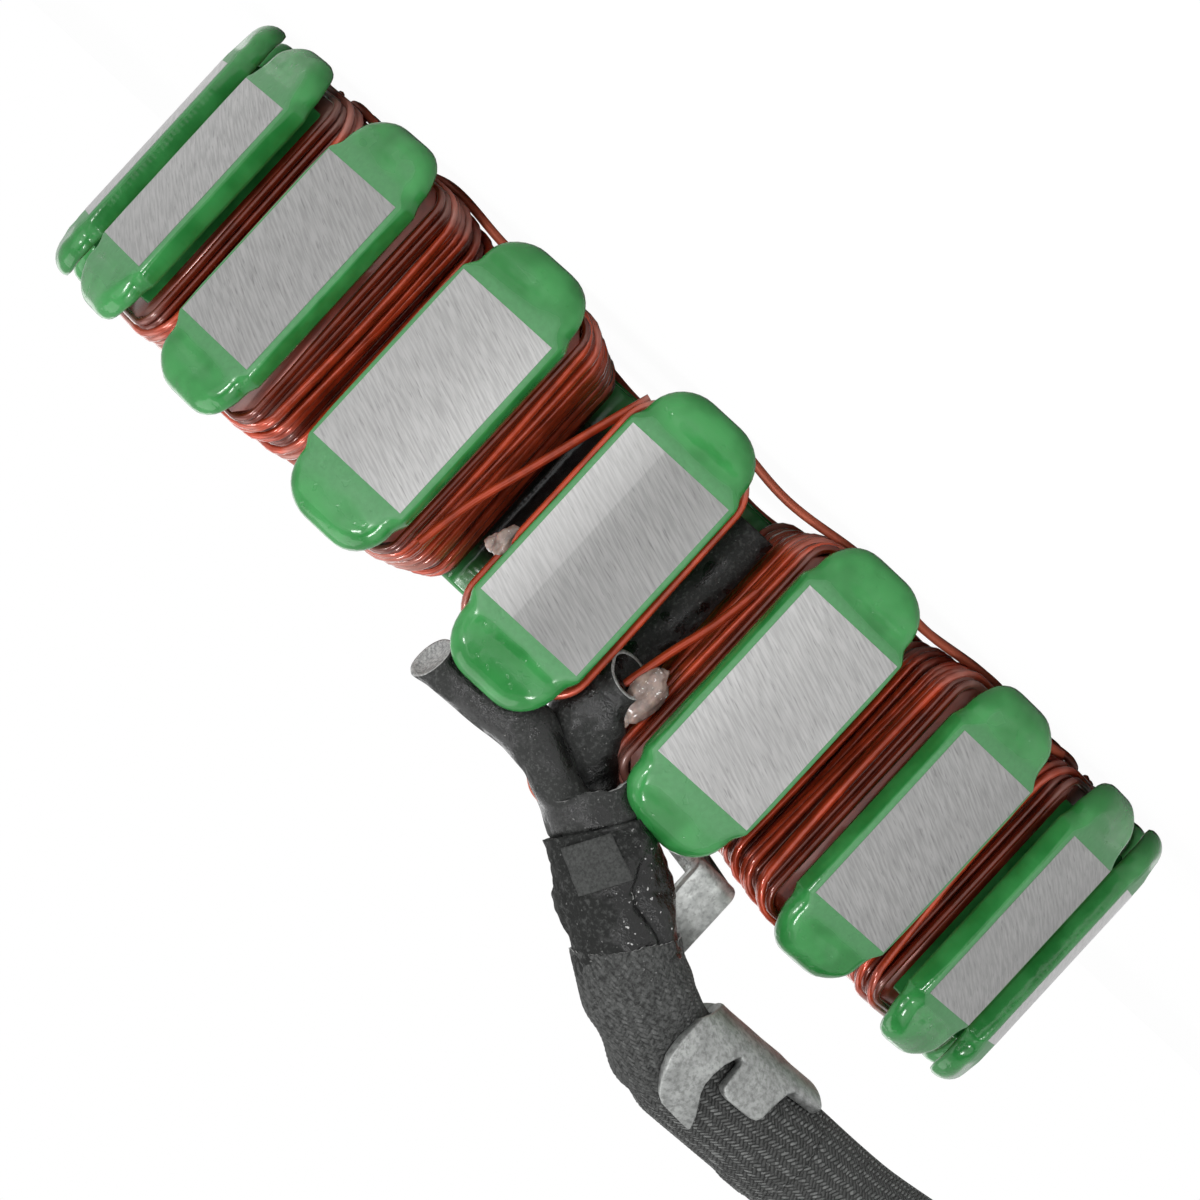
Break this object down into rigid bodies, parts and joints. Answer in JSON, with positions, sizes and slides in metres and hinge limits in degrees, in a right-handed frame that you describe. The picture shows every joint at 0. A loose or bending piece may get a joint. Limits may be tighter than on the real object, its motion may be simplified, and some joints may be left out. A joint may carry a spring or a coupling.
{
  "type": "wound stator",
  "caption": "Flat ring-shaped alternator stator: coated steel core with wound poles facing outwards, a clamped braided lead and a blade connector.",
  "frame": {"origin": "on the stator's axis, at the level of the back tabs' tips, on which it lies", "axes": "+Z along the axis towards the lead side; -Y through the middle of the nearly bare pole; the lead leaves towards -X"},
  "size_m": [0.2619, 0.1225, 0.0439],
  "materials": {
    "ground_steel": "ground across the laminations",
    "plate_steel": "bare sheet under the coat",
    "green_epoxy": "glossy powder-cured epoxy",
    "rivet_steel": "plain steel",
    "enamelled_wire": "glossy red-brown enamel",
    "splice_sleeve": "varnished glass-fibre sleeve",
    "black_tape": "wrapped tape with varnish",
    "clear_resin": "clear drop of resin",
    "zinc_plate": "zinc-plated, dull",
    "braided_sleeve": "fine black braid",
    "wire_insulation": "plain insulation",
    "connector_plastic": "moulded, fine matt",
    "tinned_brass": "stamped"
  },
  "bodies": {
    "root": {"lamination_stack": "ground_steel", "end_plate_lead_side": "plate_steel", "end_plate_back": "plate_steel", "epoxy_coat": "green_epoxy", "core_rivets": "rivet_steel", "coil_01": "enamelled_wire", "coil_02": "enamelled_wire", "coil_03": "enamelled_wire", "coil_04": "enamelled_wire", "coil_05": "enamelled_wire", "coil_06": "enamelled_wire", "coil_07": "enamelled_wire", "coil_08": "enamelled_wire", "coil_09": "enamelled_wire", "coil_10": "enamelled_wire", "coil_11": "enamelled_wire", "coil_12": "enamelled_wire", "coil_13": "enamelled_wire", "coil_14": "enamelled_wire", "coil_15": "enamelled_wire", "coil_16": "enamelled_wire", "coil_17": "enamelled_wire", "coil_18": "enamelled_wire", "phase_a_jumpers": "enamelled_wire", "phase_b_jumpers": "enamelled_wire", "phase_c_jumpers": "enamelled_wire", "crossing_wire": "enamelled_wire", "entry_wire": "enamelled_wire", "splice_sleeve_a": "splice_sleeve", "splice_sleeve_b": "splice_sleeve", "slot_sleeve": "splice_sleeve", "bundle_collar": "splice_sleeve", "taped_bundle": "black_tape", "resin_dabs": "clear_resin", "clamp_bracket": "zinc_plate", "bracket_screw": "zinc_plate", "braided_sleeve_held": "braided_sleeve", "braided_sleeve_free": "braided_sleeve", "lead_wires": "wire_insulation", "connector_housing": "connector_plastic", "connector_blades": "tinned_brass"}
  },
  "joints": []
}
